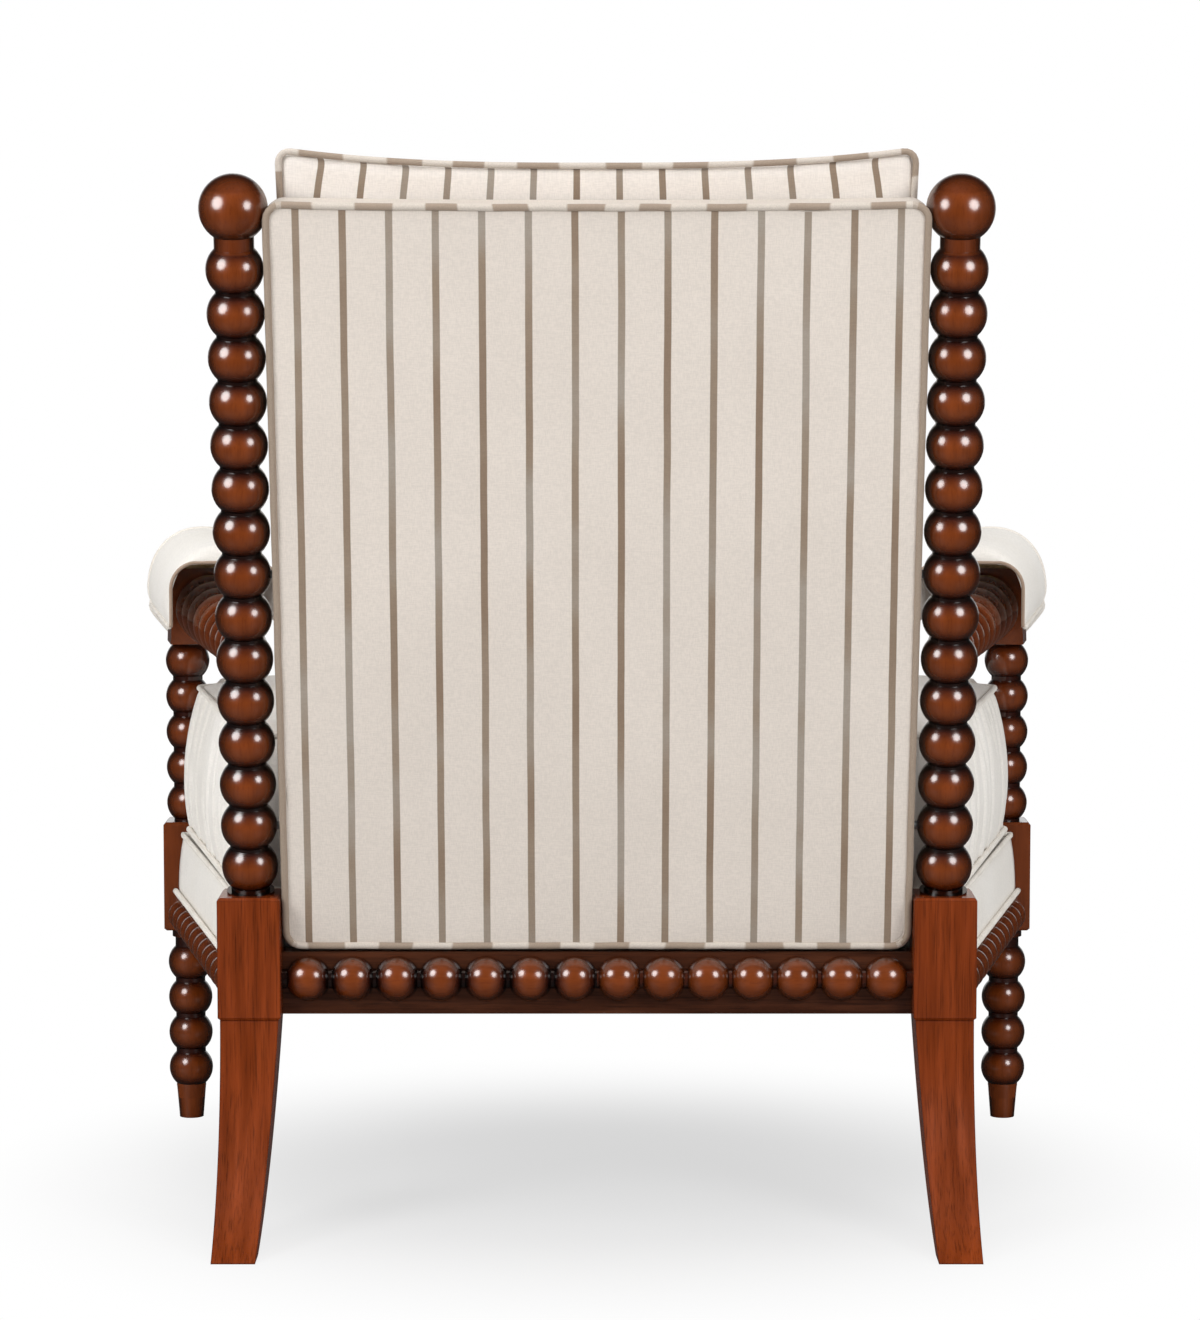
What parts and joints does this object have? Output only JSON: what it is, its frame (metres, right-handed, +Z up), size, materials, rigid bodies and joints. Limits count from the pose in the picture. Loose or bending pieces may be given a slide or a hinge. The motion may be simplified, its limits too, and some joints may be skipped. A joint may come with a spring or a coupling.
{
  "type": "armchair",
  "caption": "Spool-turned armchair in stained hardwood with a striped linen back, upholstered arm pads, and a loose seat cushion and back cushion.",
  "frame": {"origin": "on the floor, at the middle of the chair's footprint", "axes": "+Z up, the sitter faces -Y, +X is on the sitter's left-hand side; the chair is symmetric left to right"},
  "size_m": [0.952, 0.7329, 0.9941],
  "materials": {
    "stained_mahogany": "satin lacquer over a red-brown stain",
    "beech": "sawn, unfinished",
    "plywood": "sanded",
    "plain_linen": "plain weave",
    "striped_linen": "plain weave with narrow woven stripes",
    "webbing": "woven jute",
    "dust_cloth": "spun-bonded cloth",
    "foam": "open-cell upholstery foam",
    "spring_wire": "oiled wire",
    "fixings": "zinc plated"
  },
  "bodies": {
    "chair": {"left_back_post": "stained_mahogany", "right_back_post": "stained_mahogany", "left_rear_block": "stained_mahogany", "right_rear_block": "stained_mahogany", "left_rear_leg": "stained_mahogany", "right_rear_leg": "stained_mahogany", "left_front_leg": "stained_mahogany", "right_front_leg": "stained_mahogany", "left_arm_rail": "stained_mahogany", "right_arm_rail": "stained_mahogany", "front_rail": "beech", "rear_rail": "stained_mahogany", "left_side_rail": "beech", "right_side_rail": "beech", "front_bobbin_strip": "stained_mahogany", "rear_bobbin_strip": "stained_mahogany", "left_bobbin_strip": "stained_mahogany", "right_bobbin_strip": "stained_mahogany", "corner_blocks": "beech", "corner_block_screws": "fixings", "spring_batten": "beech", "seat_springs": "spring_wire", "spring_clips": "fixings", "deck_pad": "foam", "deck_cover": "plain_linen", "deck_top_welt": "plain_linen", "deck_bottom_welt": "plain_linen", "dust_cover": "dust_cloth", "left_back_stile": "beech", "right_back_stile": "beech", "back_top_rail": "beech", "back_bottom_rail": "beech", "back_webbing": "webbing", "inner_back": "plain_linen", "back_border": "striped_linen", "outside_back": "striped_linen", "outside_back_welt": "striped_linen", "back_bolts": "fixings", "left_arm_board": "plywood", "right_arm_board": "plywood", "arm_board_screws": "fixings", "left_arm_pad": "plain_linen", "right_arm_pad": "plain_linen"},
    "seat_cushion_body": {"seat_cushion": "plain_linen"},
    "back_cushion_body": {"back_cushion": "striped_linen"}
  },
  "joints": [
    {"name": "seat_cushion_lift", "type": "slide", "parent": "chair", "child": "seat_cushion_body", "axis": [0, 0, 1], "range_m": [0, 0.025]},
    {"name": "back_cushion_lift", "type": "slide", "parent": "seat_cushion_body", "child": "back_cushion_body", "axis": [0, 0.2079, 0.9781], "range_m": [0, 0.6]}
  ]
}
